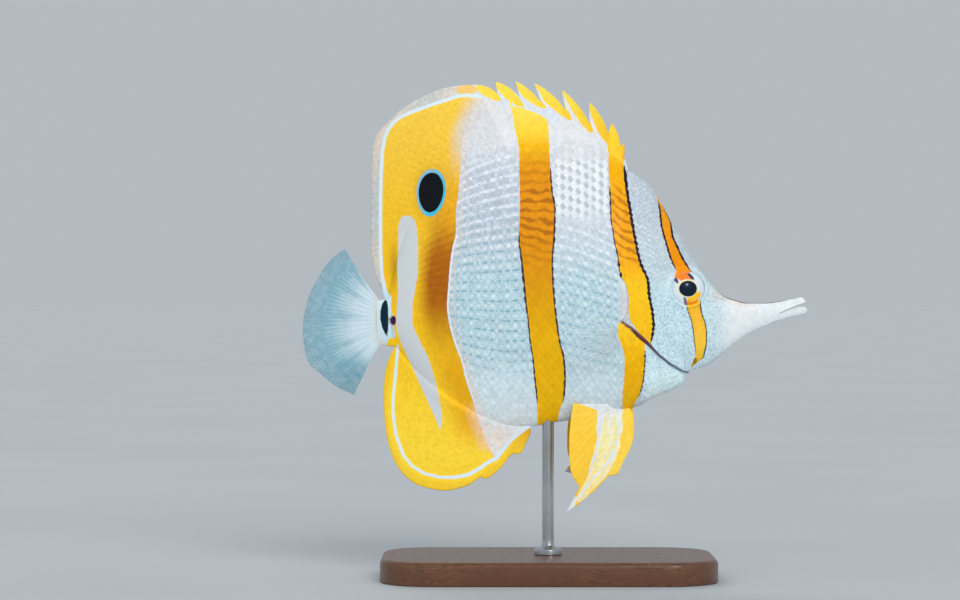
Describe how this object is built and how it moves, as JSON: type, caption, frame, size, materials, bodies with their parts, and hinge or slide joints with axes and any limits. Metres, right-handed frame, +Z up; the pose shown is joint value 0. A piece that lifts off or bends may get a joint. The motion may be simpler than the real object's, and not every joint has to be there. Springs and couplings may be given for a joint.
{
  "type": "copperband butterflyfish display model",
  "caption": "Life-size copperband butterflyfish with long snout, raised spiny dorsal fin and banded flanks, swimming level on a rod over a flat wooden base.",
  "frame": {"origin": "centre of the underside of the stand's base", "axes": "+X the way the fish faces, +Z up, +Y the fish's left side; the tail is swung a little to +Y"},
  "size_m": [0.1528, 0.058, 0.1493],
  "materials": {
    "skin": "scaled fish skin, silvery white with orange-yellow bands, satin to wet gloss",
    "fin_membrane": "thin translucent rayed fin membrane",
    "eye": "clear glossy cornea over a pale and orange iris with a dark pupil",
    "base_wood": "dark stained hardwood, satin lacquer",
    "rod_steel": "brushed stainless steel"
  },
  "bodies": {
    "root": {"head": "skin", "lower_jaw": "skin", "gill_cover_right": "skin", "gill_cover_left": "skin", "trunk": "skin", "tail_root": "skin", "dorsal_fin_spiny": "skin", "dorsal_fin_soft": "skin", "anal_fin": "skin", "caudal_fin": "fin_membrane", "pectoral_fin_right": "fin_membrane", "pectoral_fin_left": "fin_membrane", "pelvic_fin_right": "skin", "pelvic_fin_left": "skin", "eye_right": "eye", "eye_left": "eye", "stand_base": "base_wood", "stand_rod": "rod_steel"}
  },
  "joints": []
}
